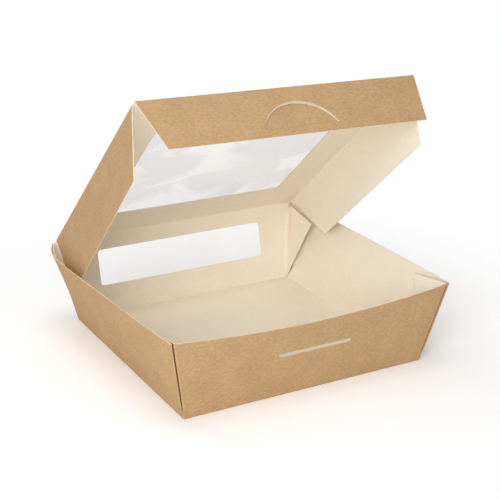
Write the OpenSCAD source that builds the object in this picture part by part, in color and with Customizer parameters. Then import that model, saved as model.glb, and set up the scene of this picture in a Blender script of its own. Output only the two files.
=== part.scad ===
// Takeaway box folded from one sheet of coated card, with film windows in the lid and the back wall.
// The tray's walls flare outwards, and at each corner a web of card is folded in two against the side wall.
// The lid is creased to the back wall's rim and stands part open, with a flap down each side and one in front.
// Origin: centre of the underside of the base. +X runs along the front wall, +Y points to the back.

/* [Card] */
// Thickness of the card
card_t = 0.4; // [0.3:0.05:0.6]
// Thickness of the window film
film_t = 0.1; // [0.05:0.05:0.2]
// Air left between a window film and the card that it is glued to
glue_gap = 0.04; // [0:0.01:0.1]
// Air between two plies of card that are folded together
ply_gap = 0.1; // [0.05:0.05:0.3]
// Running clearance between pieces that move past each other
clearance = 0.4; // [0.3:0.1:1]
// Half the bare width of a crease, from its axis to the card on each side
crease = 0.6; // [0.5:0.05:0.8]

/* [Tray] */
// Width of the base, left to right
base_w = 150; // [110:1:200]
// Depth of the base, front to back
base_d = 150; // [110:1:200]
// Height of the walls, measured up their slope
wall_l = 50; // [42:1:60]
// Outward lean of the walls at their corners, in degrees
wall_lean = 11.6; // [9:0.1:13]
// Extra outward lean of the left wall at its middle, in degrees
left_bow = 5.8; // [4.5:0.1:7]
// How much more the left wall leans towards the back, in degrees
left_bow_skew = 4; // [2.5:0.1:4.8]
// Extra outward lean of the right wall at its middle, in degrees
right_bow = 2.4; // [0:0.1:5]
// How much more the right wall leans towards the back, in degrees
right_bow_skew = 2.8; // [0:0.1:3]
// How far the middle of the front rim dips below its ends
front_dip = 5.8; // [2:0.1:9]

/* [Corner webs] */
// How far a folded web reaches along the side wall
web_reach = 28; // [16:1:34]
// Height of the web's tip, measured up the corner's edge
web_tip_l = 39; // [34:0.5:44]
// How far the back webs follow the bow of their walls, in degrees
back_web_open = 8.5; // [7:0.5:9.5]

/* [Back window] */
// Width of the window in the back wall
back_window_w = 114.6; // [80:1:120]
// Height of the window in the back wall
back_window_h = 22.6; // [12:0.5:26]
// Height of the window's lower edge, measured up the back wall
back_window_l = 18; // [10:0.5:20]
// Radius of the corners of both windows
window_r = 2; // [1:0.5:5]
// Width of film glued to the card around each window
film_margin = 8; // [4:0.5:8]

/* [Lid] */
// Angle at which the lid stands open, in degrees
lid_open = 40; // [38:1:42]
// Height of the lid's crease above the rim
hinge_up = 0.65; // [0.6:0.05:1.2]
// Width of the window in the lid
lid_window_w = 119.5; // [80:0.5:140]
// Distance from the lid's crease to the window's rear edge
lid_window_rear = 30; // [24:1:50]
// Distance from the window's front edge to the lid's front crease
lid_window_front = 29; // [24:1:50]

/* [Side flaps] */
// Height of the lid's side flaps
side_flap_h = 37.5; // [30:0.5:39]
// How far the rear lower corner of a side flap is cut back from the lid's crease
side_flap_cut = 24; // [24:1:45]
// Inward lean of the right flap with the lid at rest, in degrees
right_flap_lean = 8; // [4:0.5:9]
// Outward lean of the left flap's rear end with the lid at rest, in degrees
left_flap_lean = 0; // [0:0.5:1]
// Further outward lean of the left flap's front end, which is twisted, in degrees
left_flap_twist = 13; // [8:0.5:13.5]

/* [Front flap] */
// Height of the lid's front flap
front_flap_h = 30.5; // [26:0.5:36]
// Taper of the front flap's ends, in degrees
front_flap_taper = 12.7; // [8:0.1:18]
// Angle between the lid and its front flap at rest, in degrees
front_flap_angle = 100; // [90:1:120]

/* [Lock] */
// Offset of the lock tab and its slot to the right of the middle
lock_x = 1.2; // [-4:0.1:4]
// Width of the half-moon tab at its crease
tab_w = 43; // [30:0.5:50]
// Height of the half-moon tab
tab_h = 15.5; // [10:0.5:18]
// Distance from the front flap's crease to the tab's crease
tab_drop = 23.4; // [21:0.1:24.5]
// How far the tab is pushed in at rest, in degrees
tab_push = 5; // [0:0.5:8]
// Width of the cut around the tab
tab_cut = 0.3; // [0.2:0.05:0.6]
// Height of the slot in the front wall
slot_h = 2.2; // [1.8:0.1:3]
// Height of the slot's middle, measured up the front wall
slot_l = 26.8; // [26:0.1:27.2]

/* [Hidden] */

kraft = "#c99d66";
film_tint = [0.93, 0.94, 0.95, 0.35];
$fn = 96;

// Columns of facets along a bowed wall and along the twisted flap, and facets round the dip's large arc
wall_cols = 20;
flap_cols = 8;
dip_facets = 720;
// How flat the bow runs before it falls away at the corners
bow_power = 8;

rim_out = wall_l * sin(wall_lean);
rim_z = wall_l * cos(wall_lean);
rim_half_w = base_w / 2 + rim_out;
rim_half_d = base_d / 2 + rim_out;
web_in = card_t + ply_gap;
web_t = 2 * card_t;

hinge_y = rim_half_d - card_t / 2 + hinge_up * tan(wall_lean);
hinge_z = rim_z + hinge_up;
// The side flaps pass inside the folded webs, and the front flap passes outside the front wall
fold_x = rim_half_w - (web_in + web_t + card_t / 2) / cos(wall_lean) + card_t / 2 - clearance;
front_gap = clearance + card_t;
lid_d = hinge_y + rim_half_d + front_gap;
side_front_gap = 1;
// A side flap's rear edge starts this far in front of the lid's crease
side_rear_gap = 2.5;
// Bare card left between the back window's film and the rim
rim_margin = 1;
// How far a cutting solid reaches past the card on each side
through = 1;
side_front_top = lid_d - front_gap - card_t - side_front_gap;
side_front_foot = side_front_top - side_flap_h * tan(wall_lean);
lip_half_w = rim_half_w - side_front_gap;
lid_window_d = lid_d - lid_window_rear - lid_window_front;
lid_film_margin = 1.5 * film_margin;

tab_r = (tab_h * tab_h + tab_w * tab_w / 4) / (2 * tab_h);
slot_w = tab_w + 2;

// Extra lean of a side wall at t, which runs from -1 at the front corner to 1 at the back corner
function bow(side, t) = (1 - pow(abs(t), bow_power))
    * (side < 0 ? left_bow + left_bow_skew * t : right_bow + right_bow_skew * t);

// A point on a side wall, l up its slope and n inwards from its outer face
function wall_point(side, t, l, n) =
    let (lean = wall_lean + bow(side, t), y = t * (base_d / 2 + l * sin(wall_lean)))
    [side * (base_w / 2 + l * sin(lean) - n * cos(lean)), y, l * cos(lean) + n * sin(lean)];

// Columns crowd towards the corners, where the bow changes fastest. The ends stop half a card short of
// the corners' edges, where the walls' creases leave a small hollow.
function wall_t(i) = sin(90 * (2 * i / wall_cols - 1)) * (1 - card_t / base_d);

// A closed slab between two grids of points, each with rows * cols points
module slab(face_a, face_b, rows, cols) {
    k = rows * cols;
    grid = [for (r = [0 : rows - 2], c = [0 : cols - 2]) [r * cols + c, r * cols + c + 1]];
    top = [for (g = grid) each [[g[0], g[1], g[1] + cols], [g[0], g[1] + cols, g[0] + cols]]];
    foot = [for (f = top) [f[2] + k, f[1] + k, f[0] + k]];
    ring = concat([for (c = [0 : cols - 2]) c],
                  [for (r = [0 : rows - 2]) r * cols + cols - 1],
                  [for (c = [cols - 1 : -1 : 1]) (rows - 1) * cols + c],
                  [for (r = [rows - 1 : -1 : 1]) r * cols]);
    n = len(ring);
    sides = [for (i = [0 : n - 1])
        let (a = ring[i], b = ring[(i + 1) % n])
        each [[b, a, a + k], [b, a + k, b + k]]];
    polyhedron(concat(face_a, face_b), concat(top, foot, sides));
}

// A left or right wall, bowed between its corners
module side_wall(side) {
    face = function (n) [for (l = [0, wall_l], i = [0 : wall_cols])
        wall_point(side, side * wall_t(i), l, n)];
    slab(face(card_t), face(0), 2, wall_cols + 1);
}

// A corner web, folded in two and lying along the side wall; back is 1 at the back and -1 in front.
// It is drawn from the corner's edge, standing on its foot, and turned about that edge towards the wall.
module corner_web(side, back) {
    edge_lean = atan(rim_out / wall_l);
    edge_l = norm([rim_out, wall_l]);
    start = card_t / 2;
    open = back > 0 ? back_web_open : 0;
    mirror([side < 0 ? 1 : 0, 0, 0])
        mirror([0, back > 0 ? 0 : 1, 0])
            translate([base_w / 2, base_d / 2, 0])
                rotate([90, 0, 90])
                    rotate([wall_lean, 0, 0])
                        rotate([0, 0, -edge_lean])
                            rotate([0, open, 0])
                                translate([0, 0, -web_in - web_t])
                                    linear_extrude(web_t)
                                        polygon([[-start, 0], [-start, edge_l - start],
                                                 [-web_reach, web_tip_l]]);
}

// Outline of the front or back wall, seen square on, with its foot on the X axis
module wall_outline() {
    foot = base_w / 2 - card_t / 2;
    head = rim_half_w - card_t / 2;
    polygon([[-foot, 0], [foot, 0], [head, wall_l], [-head, wall_l]]);
}

// Stands a flat outline up as a wall, leaning out over the edge of the base; back as above
module stand_wall(back) {
    mirror([0, back > 0 ? 1 : 0, 0])
        translate([0, -base_d / 2, 0])
            rotate([90 + wall_lean, 0, 0])
                translate([0, 0, -card_t])
                    linear_extrude(card_t) children();
}

// A rectangle with rounded corners, from its left lower corner, to cut through a plate
module window_cut(w, h, t) {
    inner = [w - 2 * window_r, h - 2 * window_r];
    linear_extrude(t) {
        translate([window_r, 0]) square([inner[0], h]);
        translate([0, window_r]) square([w, inner[1]]);
        for (x = [window_r, w - window_r], y = [window_r, h - window_r])
            translate([x, y]) circle(window_r);
    }
}

module front_wall() {
    dip_r = (rim_half_w * rim_half_w + front_dip * front_dip) / (2 * front_dip);
    stand_wall(-1)
        difference() {
            wall_outline();
            translate([0, wall_l - front_dip + dip_r]) circle(dip_r, $fn = dip_facets);
            for (end = [-1, 1])
                translate([lock_x + end * (slot_w - slot_h) / 2, slot_l]) circle(slot_h / 2);
            translate([lock_x - (slot_w - slot_h) / 2, slot_l - slot_h / 2])
                square([slot_w - slot_h, slot_h]);
        }
}

module back_wall() {
    difference() {
        stand_wall(1) wall_outline();
        translate([0, base_d / 2, 0])
            rotate([90 - wall_lean, 0, 0])
                translate([-back_window_w / 2, back_window_l, -through])
                    window_cut(back_window_w, back_window_h, card_t + 2 * through);
    }
}

module tray() {
    color(kraft) {
        translate([-base_w / 2, -base_d / 2, 0]) cube([base_w, base_d, card_t]);
        front_wall();
        back_wall();
        for (side = [-1, 1]) {
            side_wall(side);
            for (back = [-1, 1]) corner_web(side, back);
        }
    }
}

module back_window_film() {
    foot = back_window_l - film_margin;
    head = min(back_window_l + back_window_h + film_margin, wall_l - rim_margin);
    color(film_tint)
        translate([0, base_d / 2, 0])
            rotate([90 - wall_lean, 0, 0])
                translate([-back_window_w / 2 - film_margin, foot, card_t + glue_gap])
                    cube([back_window_w + 2 * film_margin, head - foot, film_t]);
}

// Places what is drawn for a shut lid: its crease on the X axis, -Y to the front, -Z inwards
module at_lid() {
    translate([0, hinge_y, hinge_z]) rotate([-lid_open, 0, 0]) children();
}

module lid_panel() {
    side = fold_x - crease;
    front = lid_d - crease;
    neck = side_front_top + crease;
    color(kraft)
        at_lid()
            difference() {
                translate([0, 0, -card_t / 2])
                    linear_extrude(card_t)
                        polygon([[-side, -crease], [-side, -neck], [-lip_half_w, -neck],
                                 [-lip_half_w, -front], [lip_half_w, -front], [lip_half_w, -neck],
                                 [side, -neck], [side, -crease]]);
                translate([-lid_window_w / 2, -lid_window_rear - lid_window_d, -through])
                    window_cut(lid_window_w, lid_window_d, 2 * through);
            }
}

module lid_window_film() {
    w = lid_window_w + 2 * lid_film_margin;
    d = lid_window_d + 2 * lid_film_margin;
    color(film_tint)
        at_lid()
            translate([-w / 2, -lid_window_rear - lid_window_d - lid_film_margin,
                       -card_t / 2 - glue_gap - film_t])
                cube([w, d, film_t]);
}

// How far along the lid a side flap starts and ends, w down from its crease
function flap_rear(w) = let (start = crease + side_rear_gap)
    start + (side_flap_cut - start) * w / side_flap_h;
function flap_front(w) = side_front_top + (side_front_foot - side_front_top) * w / side_flap_h;

// A point on a side flap, u along the lid, w down the flap, n out from its middle, leaning out
function flap_point(side, u, w, n, lean) =
    [side * (fold_x + w * sin(lean) + n * cos(lean)), -u, n * sin(lean) - w * cos(lean)];

module side_flap(side, rear_lean, twist) {
    half = card_t / 2;
    face = function (n) [for (w = [crease, side_flap_h], i = [0 : flap_cols])
        let (u = flap_rear(w) + (flap_front(w) - flap_rear(w)) * i / flap_cols)
        flap_point(side, u, w, n, rear_lean + twist * u / lid_d)];
    slab(face(-side * half), face(side * half), 2, flap_cols + 1);
}

module lid_left_flap() {
    color(kraft) at_lid() side_flap(-1, left_flap_lean, left_flap_twist);
}

module lid_right_flap() {
    half = card_t / 2;
    color(kraft)
        at_lid()
            translate([fold_x, 0, 0])
                rotate([0, right_flap_lean, 0])
                    rotate([0, 90, 0])
                        translate([0, 0, -half])
                            linear_extrude(card_t)
                                polygon([for (p = [[crease, flap_rear(crease)],
                                                   [side_flap_h, flap_rear(side_flap_h)],
                                                   [side_flap_h, flap_front(side_flap_h)],
                                                   [crease, flap_front(crease)]]) [p[0], -p[1]]]);
}

// Places a front flap outline: its crease on the X axis, -Y down the flap, +Z outwards
module at_front_flap() {
    at_lid() translate([0, -lid_d, 0]) rotate([180 - front_flap_angle, 0, 0]) children();
}

// Half-moon above its crease at y = -tab_drop, grown all round
module half_moon(grow, foot) {
    intersection() {
        translate([lock_x, -tab_drop + tab_h - tab_r]) circle(tab_r + grow);
        translate([lock_x - tab_w, -tab_drop + foot]) square([2 * tab_w, 2 * tab_w]);
    }
}

module lid_front_flap() {
    head = lip_half_w;
    foot = head - front_flap_h * tan(front_flap_taper);
    color(kraft)
        at_front_flap()
            translate([0, 0, -card_t / 2])
                linear_extrude(card_t)
                    difference() {
                        polygon([[-head, -crease], [head, -crease],
                                 [foot, -front_flap_h], [-foot, -front_flap_h]]);
                        half_moon(tab_cut, -crease);
                    }
}

module lock_tab() {
    color(kraft)
        at_front_flap()
            translate([0, -tab_drop, 0])
                rotate([-tab_push, 0, 0])
                    translate([0, tab_drop, -card_t / 2])
                        linear_extrude(card_t) half_moon(0, crease / 2);
}

tray();
back_window_film();
lid_panel();
lid_window_film();
lid_left_flap();
lid_right_flap();
lid_front_flap();
lock_tab();
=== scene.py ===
"""Looks of a takeaway box folded from one sheet of coated card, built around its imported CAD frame.

Every card piece is a thin closed sheet with a kraft face outside, a cream coated face inside and a pale
cut edge. The pieces follow the same sizes as the CAD part, and creased strips join them at the hinges.
Sizes are in millimetres until a mesh is made. +X runs along the front wall, +Y points to the back.
"""

import logging
import math
from collections.abc import Callable, Sequence
from dataclasses import dataclass, field
from enum import Enum

import bpy
import numpy as np
from mathutils import Matrix, Vector
from mathutils.geometry import delaunay_2d_cdt

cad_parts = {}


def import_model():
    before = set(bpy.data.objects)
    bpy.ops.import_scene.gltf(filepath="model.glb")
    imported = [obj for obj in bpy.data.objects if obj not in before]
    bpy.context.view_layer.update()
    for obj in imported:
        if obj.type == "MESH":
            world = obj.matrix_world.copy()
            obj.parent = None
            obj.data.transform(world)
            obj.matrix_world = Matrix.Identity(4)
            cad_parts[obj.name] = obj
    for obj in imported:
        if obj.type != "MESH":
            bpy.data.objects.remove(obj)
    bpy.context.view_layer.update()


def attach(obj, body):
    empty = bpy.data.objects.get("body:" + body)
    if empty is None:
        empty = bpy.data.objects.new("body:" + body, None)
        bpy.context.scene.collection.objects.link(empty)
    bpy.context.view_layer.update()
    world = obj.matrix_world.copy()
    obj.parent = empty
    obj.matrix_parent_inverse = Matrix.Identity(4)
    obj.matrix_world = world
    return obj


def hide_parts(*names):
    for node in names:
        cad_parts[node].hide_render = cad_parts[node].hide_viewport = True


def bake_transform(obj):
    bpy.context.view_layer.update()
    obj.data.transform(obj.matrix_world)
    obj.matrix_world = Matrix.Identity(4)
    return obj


LOG = logging.getLogger("takeaway_box")

MM = 0.001
FLAT_UV = "flat"
WHITE = "#ffffff"

# Least length that a vector or an edge is divided by
TINY = 1e-9
# Distance in millimetres, each way, over which a surface's slope is taken
PROBE = 0.02
# Distances in millimetres over which a direction is taken: on a ply, at a wall's end and at an edge
PLY_SPAN, END_SPAN, EDGE_SPAN = 0.1, 0.5, 1.0
# Share of their spacing that the points inside a sheet keep from its cuts
KEEP_OFF = 0.35
# Distance in millimetres within which two flat points are one
WELD = 1e-5
# Distances in millimetres between the points along the cuts of the card and of the film
CARD_STEP = 2.0
FILM_STEP = 4.0
# Places in millimetres at which corners, walls and flaps lie on the flat card, clear of each other
FLAT_CORNER, FLAT_WALL, FLAT_FLAP = 300, 500, 700
# Handles of a crease's curve, as a share of the distance between its ends
CREASE_HANDLE = 0.4
# Points along the foot's, the lid's and the tab's creases, and steps across them
FOOT_COLUMNS, LID_COLUMNS, TAB_COLUMNS = 76, 60, 30
FOOT_STEPS, LID_STEPS = 6, 8

Array = np.ndarray
Surface = Callable[[Array, Array], Array]


# Sizes


@dataclass(frozen=True)
class CardSizes:
    """Sizes of the card and of its folds, in millimetres.

    Attributes:
        thickness: thickness of the card.
        film: thickness of the window film.
        glue: air between a film and the card it is glued to.
        ply_gap: air between two plies folded together.
        crease: half the bare width of a hinge crease.
        bend: how far a tight crease's bend reaches into the card on each side.
        clearance: running clearance between moving pieces.
    """

    thickness: float = 0.4
    film: float = 0.1
    glue: float = 0.04
    ply_gap: float = 0.1
    crease: float = 0.6
    bend: float = 0.5
    clearance: float = 0.4

    @property
    def half(self) -> float:
        """Half the card's thickness."""
        return self.thickness / 2

    @property
    def film_off(self) -> float:
        """Distance from the middle of a card to the middle of a film glued to it."""
        return self.half + self.glue + self.film / 2


@dataclass(frozen=True)
class TraySizes:
    """Sizes of the tray, in millimetres and degrees.

    Attributes:
        half_base: half the side of the square base.
        wall: height of the walls up their slope.
        lean: outward lean of the walls at their corners.
        bows: extra lean of the left and right walls at their middle.
        skews: how much more they lean towards the back.
        bow_power: how flat the bow runs before it falls away at the corners.
        dip: how far the middle of the front rim lies below its ends.
        web_reach: how far each folded web reaches along its side wall, left front and back, then right.
        web_tip: height of their tips up the corner's edge.
        web_off: how far they stand in from their corners' line.
        web_bend: distance from the corner's edge over which they bend off.
        rounding: how far from the back corners' edges the back wall bends over into its webs.
        slits: air between a web's plies at the corner's edge: back, left front, right front.
        fold_slit: air between the plies at the web's fold.
        front_push: how far the left and right front slits push their side wall's end outwards.
        window: width, height and foot of the back window.
        window_radius: radius of the windows' corners.
        film_margin: width of the film glued round the back window.
        film_rim: how far below the rim that film has to end.
        slot: width, height, middle across and middle up of the lock's slot.
    """

    half_base: float = 75.0
    wall: float = 50.0
    lean: float = 11.6
    bows: tuple[float, float] = (5.8, 5.5)
    skews: tuple[float, float] = (4.0, 2.8)
    bow_power: int = 8
    dip: float = 5.8
    web_reach: tuple[float, float, float, float] = (24.0, 32.0, 28.0, 32.0)
    web_tip: tuple[float, float, float, float] = (45.0, 39.0, 41.5, 39.0)
    web_off: tuple[float, float, float, float] = (-2.0, -6.8, 0.0, 4.4)
    web_bend: tuple[float, float, float, float] = (12.0, 11.0, 9.0, 4.5)
    rounding: float = 4.0
    slits: tuple[float, float, float] = (0.1, 0.65, 1.0)
    fold_slit: float = 0.05
    front_push: tuple[float, float] = (0.9, 1.2)
    window: tuple[float, float, float] = (114.6, 22.6, 18.0)
    window_radius: float = 2.0
    film_margin: float = 8.0
    film_rim: float = 1.0
    slot: tuple[float, float, float, float] = (45.0, 2.2, 1.2, 26.8)

    @property
    def rim_out(self) -> float:
        """How far the rim stands out over the base's edge."""
        return self.wall * math.sin(math.radians(self.lean))

    @property
    def rim_z(self) -> float:
        """Height of the rim."""
        return self.wall * math.cos(math.radians(self.lean))

    @property
    def rim_half(self) -> float:
        """Half the width of the rim at the corners."""
        return self.half_base + self.rim_out


@dataclass(frozen=True)
class FoldSizes:
    """How the plies at a tray's corner are drawn, in millimetres and in shares.

    Attributes:
        inset: how far short of a corner's edge each wall stops.
        turn: how much further the front and back walls stop short, where the web turns into them.
        spread: height up the slope over which a corner's slit opens.
        push_fade: distance over which the push on a side wall's front end fades.
        slit_fade: distance over which the slit at the corner's edge closes along the web.
        low_levels: shares of the height at which the lowest rows of points lie.
        levels: share of the height and number of the rows above them.
        opening: share of the height over which the plies part from the base's corner.
        first_low: share of its depth that the first ply has at the base's corner.
        slit_low: share of its width that a slit has at the base's corner.
        most_inset: largest share of the web that the turn at the corner's edge takes.
        most_round: largest share of the web that the corner's rounding takes.
        half_turn: handles of a half turn's curve, as a share of its width.
        swing: handles of the bend into the front or back wall, as a share of its width.
        bend_steps: steps round a bend.
        ply_points: points along a ply.
        round_in: how soon the rounding grows above the base.
        round_power: how late it fades towards the rim.
        foot_short: how far a foot's crease stops short of the corners.
        least_row: least height from the back wall's foot to its next row of points.
    """

    inset: float = 0.9
    turn: float = 0.55
    spread: float = 10.0
    push_fade: float = 4.0
    slit_fade: float = 3.0
    low_levels: tuple[float, float, float] = (0.02, 0.05, 0.09)
    levels: tuple[float, int] = (0.14, 22)
    opening: float = 0.2
    first_low: float = 0.35
    slit_low: float = 0.8
    most_inset: float = 0.4
    most_round: float = 0.3
    half_turn: float = 0.667
    swing: float = 0.55
    bend_steps: int = 8
    ply_points: int = 17
    round_in: float = 3.0
    round_power: int = 6
    foot_short: float = 0.15
    least_row: float = 0.3


@dataclass(frozen=True)
class LidSizes:
    """Sizes of the lid and its flaps, in millimetres and degrees.

    Attributes:
        open: angle at which the lid stands open.
        hinge_up: height of the lid's crease above the rim.
        twist: how far the front left corner is lifted by the lid's twist.
        window_width: width of the lid's window.
        window_rear: distance from the lid's crease to its window.
        window_front: distance from the window to the front crease.
        flap_height: height of the side flaps.
        flap_cuts: how far the rear lower corners of the left and right flap are cut back.
        flap_knees: how far down each flap its rear end follows the back wall before it is cut back.
        flap_rear_gaps: distance of each flap's rear edge from the lid's crease.
        flap_front_gap: distance of a side flap's front edge from the front flap.
        leans: outward lean of the left and right flap at their rear ends.
        twists: further outward lean at their front ends.
        front_height: height of the front flap.
        front_taper: taper of the front flap's ends.
        front_angle: angle between the lid and its front flap.
        tab: width, height, drop from the front crease and middle across of the lock tab.
        tab_push: how far the tab is pushed in.
        tab_cut: width of the cut round the tab.
        tab_end: how far the tab's crease stops short of its ends.
        rear_run: how far the rear crease runs on past the right flap's fold.
        film_margin: width of the film glued round the lid's window.
    """

    open: float = 40.0
    hinge_up: float = 0.65
    twist: float = 4.0
    window_width: float = 119.5
    window_rear: float = 30.0
    window_front: float = 29.0
    flap_height: float = 37.5
    flap_cuts: tuple[float, float] = (24.0, 33.0)
    flap_knees: tuple[float, float] = (22.0, 4.0)
    flap_rear_gaps: tuple[float, float] = (2.0, 1.6)
    flap_front_gap: float = 2.1
    leans: tuple[float, float] = (1.5, -4.0)
    twists: tuple[float, float] = (11.5, -4.0)
    front_height: float = 30.5
    front_taper: float = 12.7
    front_angle: float = 100.0
    tab: tuple[float, float, float, float] = (43.0, 15.5, 23.4, 1.2)
    tab_push: float = 5.0
    tab_cut: float = 0.3
    tab_end: float = 0.3
    rear_run: float = 0.4
    film_margin: float = 12.0


class Body(str, Enum):
    """The CAD bodies that the pieces ride on."""

    TRAY = "tray"
    LID = "lid"
    LEFT = "left_flap"
    RIGHT = "right_flap"
    FRONT = "front_flap"
    LOCK = "lock"


# Colour and shader helpers


def linear(code: str, alpha: float = 1.0) -> tuple[float, float, float, float]:
    """Turns an sRGB hex colour into linear RGBA.

    Args:
        code: the colour as "#rrggbb".
        alpha: the colour's alpha.

    Returns:
        The linear colour with its alpha.
    """
    parts = [int(code[i : i + 2], 16) / 255 for i in (1, 3, 5)]
    red, green, blue = (
        c / 12.92 if c <= 0.04045 else ((c + 0.055) / 1.055) ** 2.4 for c in parts
    )
    return red, green, blue, alpha


def add_node(
    tree: bpy.types.NodeTree,
    kind: str,
    settings: dict[str, object] | None = None,
    inputs: dict[str | int, object] | None = None,
) -> bpy.types.Node:
    """Adds a shader node, sets it up and links it.

    Args:
        tree: the node tree.
        kind: the node's type name without its "ShaderNode" prefix.
        settings: attributes of the node.
        inputs: values or output sockets by input name or number.

    Returns:
        The new node.
    """
    node = tree.nodes.new("ShaderNode" + kind)
    for name, value in (settings or {}).items():
        setattr(node, name, value)
    for key, value in (inputs or {}).items():
        if isinstance(value, bpy.types.NodeSocket):
            tree.links.new(value, node.inputs[key])
        else:
            node.inputs[key].default_value = value
    return node


def set_ramp(node: bpy.types.Node, stops: Sequence[tuple[float, tuple]]) -> None:
    """Fills a colour ramp.

    Args:
        node: the colour ramp node.
        stops: positions with their linear colours, from low to high.
    """
    elements = node.color_ramp.elements
    while len(elements) < len(stops):
        elements.new(0.5)
    for element, (position, colour) in zip(elements, stops):
        element.position = position
        element.color = colour


def emptied(owner: bpy.types.Material | bpy.types.World) -> bpy.types.NodeTree:
    """Gives a material or world an empty node tree.

    Args:
        owner: the material or world.

    Returns:
        Its node tree.
    """
    owner.use_nodes = True
    owner.node_tree.nodes.clear()
    return owner.node_tree


def add_noise(
    tree: bpy.types.NodeTree,
    place: bpy.types.NodeSocket,
    scale: float,
    detail: float,
    roughness: float,
    distortion: float = 0.0,
) -> bpy.types.NodeSocket:
    """Adds noise over the flat card.

    Args:
        tree: the node tree.
        place: place on the flat card.
        scale: marks of the noise in a metre.
        detail: its octaves.
        roughness: weight of the finer octaves.
        distortion: how far it is warped.

    Returns:
        The noise's output.
    """
    inputs = {"Vector": place, "Scale": scale, "Detail": detail, "Roughness": roughness}
    inputs["Distortion"] = distortion
    return add_node(tree, "TexNoise", {"noise_dimensions": "2D"}, inputs).outputs["Fac"]


def add_range(
    tree: bpy.types.NodeTree,
    value: bpy.types.NodeSocket,
    source: tuple[float, float],
    target: tuple[float, float] = (0.0, 1.0),
    kind: str = "LINEAR",
) -> bpy.types.NodeSocket:
    """Maps a value from one range to another.

    Args:
        tree: the node tree.
        value: the value.
        source: the range it comes in.
        target: the range it goes to.
        kind: the kind of interpolation.

    Returns:
        The mapped value's output.
    """
    inputs = {"Value": value, "From Min": source[0], "From Max": source[1]}
    inputs |= {"To Min": target[0], "To Max": target[1]}
    return add_node(tree, "MapRange", {"interpolation_type": kind}, inputs).outputs["Result"]


def mix_colours(
    tree: bpy.types.NodeTree, share: object, first: object, second: bpy.types.NodeSocket
) -> bpy.types.NodeSocket:
    """Mixes two colours by the share of the second, and gives the mixed colour's output."""
    inputs = {"Factor": share, 6: first, 7: second}
    return add_node(tree, "Mix", {"data_type": "RGBA"}, inputs).outputs["Result"]


def mix_shaders(
    tree: bpy.types.NodeTree, share: object, first: bpy.types.Node, second: bpy.types.Node
) -> bpy.types.Node:
    """Mixes two shaders by the share of the second, and gives the mixing node."""
    return add_node(
        tree, "MixShader", inputs={"Fac": share, 1: first.outputs[0], 2: second.outputs[0]}
    )


def colour_node(tree: bpy.types.NodeTree, kind: str, code: str, **inputs: float) -> bpy.types.Node:
    """Adds a shader of one plain colour, with further inputs by name."""
    return add_node(tree, kind, inputs={"Color": linear(code), **inputs})


@dataclass(frozen=True)
class CardFace:
    """One face of the card, with its fibres and the shade painted into its narrow gaps.

    Attributes:
        name: the material's name.
        colour: mean colour of the face.
        dark: colour of the darker fibres.
        light: colour of the lighter fibres.
        roughness: roughness of the face.
        fibre: share of the fibres' colour.
        bump: height of the fibres' relief in millimetres.
        cloud: how much the pulp's clouds lighten and darken the face.
        crevice_shade: colour of the shade painted on the face deep in a narrow gap.
    """

    name: str
    colour: str
    dark: str
    light: str
    roughness: float
    fibre: float
    bump: float
    cloud: float
    crevice_shade: str

    def build(self) -> bpy.types.Material:
        """Makes the material.

        Returns:
            The material, whose patterns run in real millimetres over the flat card.
        """
        material = bpy.data.materials.new(self.name)
        tree = emptied(material)
        flat = add_node(tree, "UVMap", {"uv_map": FLAT_UV}).outputs["UV"]
        # Matted fibres, about 1.3 mm across and 2.2 mm along the sheet's grain
        grain = add_node(tree, "Mapping", inputs={"Vector": flat, "Scale": (0.6, 1.0, 1.0)})
        fibres = add_noise(tree, grain.outputs["Vector"], 760.0, 5.0, 0.6)
        # Clouds of pulp, about 14 mm across
        clouds = add_noise(tree, flat, 70.0, 3.0, 0.5)
        ramp = add_node(tree, "ValToRGB", inputs={"Fac": fibres})
        colours = [linear(code) for code in (self.dark, self.colour, self.light)]
        set_ramp(ramp, list(zip((0.3, 0.5, 0.72), colours)))
        tone = mix_colours(tree, self.fibre, linear(self.colour), ramp.outputs["Color"])
        shade = add_range(tree, clouds, (0.3, 0.7), (1 - self.cloud, 1 + self.cloud))
        toned = add_node(tree, "HueSaturation", inputs={"Color": tone, "Value": shade})
        # Painted shade: an occlusion mask darkens the slits and laps between a piece's own plies towards a
        # painted shade colour within their last 2.5 mm
        gap = add_node(
            tree, "AmbientOcclusion", {"samples": 8, "only_local": True}, {"Distance": 2.5 * MM}
        )
        air = add_range(tree, gap.outputs["AO"], (0.15, 0.55))
        # The face's colour with the painted shade mixed in where the gap closes in
        shaded_colour = mix_colours(tree, air, linear(self.crevice_shade), toned.outputs["Color"])
        relief = add_node(
            tree, "Bump", inputs={"Height": fibres, "Distance": self.bump * MM, "Strength": 0.6}
        )
        shader = add_node(
            tree,
            "BsdfPrincipled",
            inputs={
                "Base Color": shaded_colour,
                "Roughness": self.roughness,
                "Normal": relief.outputs["Normal"],
                "Specular IOR Level": 0.25,
            },
        )
        add_node(tree, "OutputMaterial", inputs={"Surface": shader.outputs["BSDF"]})
        return material


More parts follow.
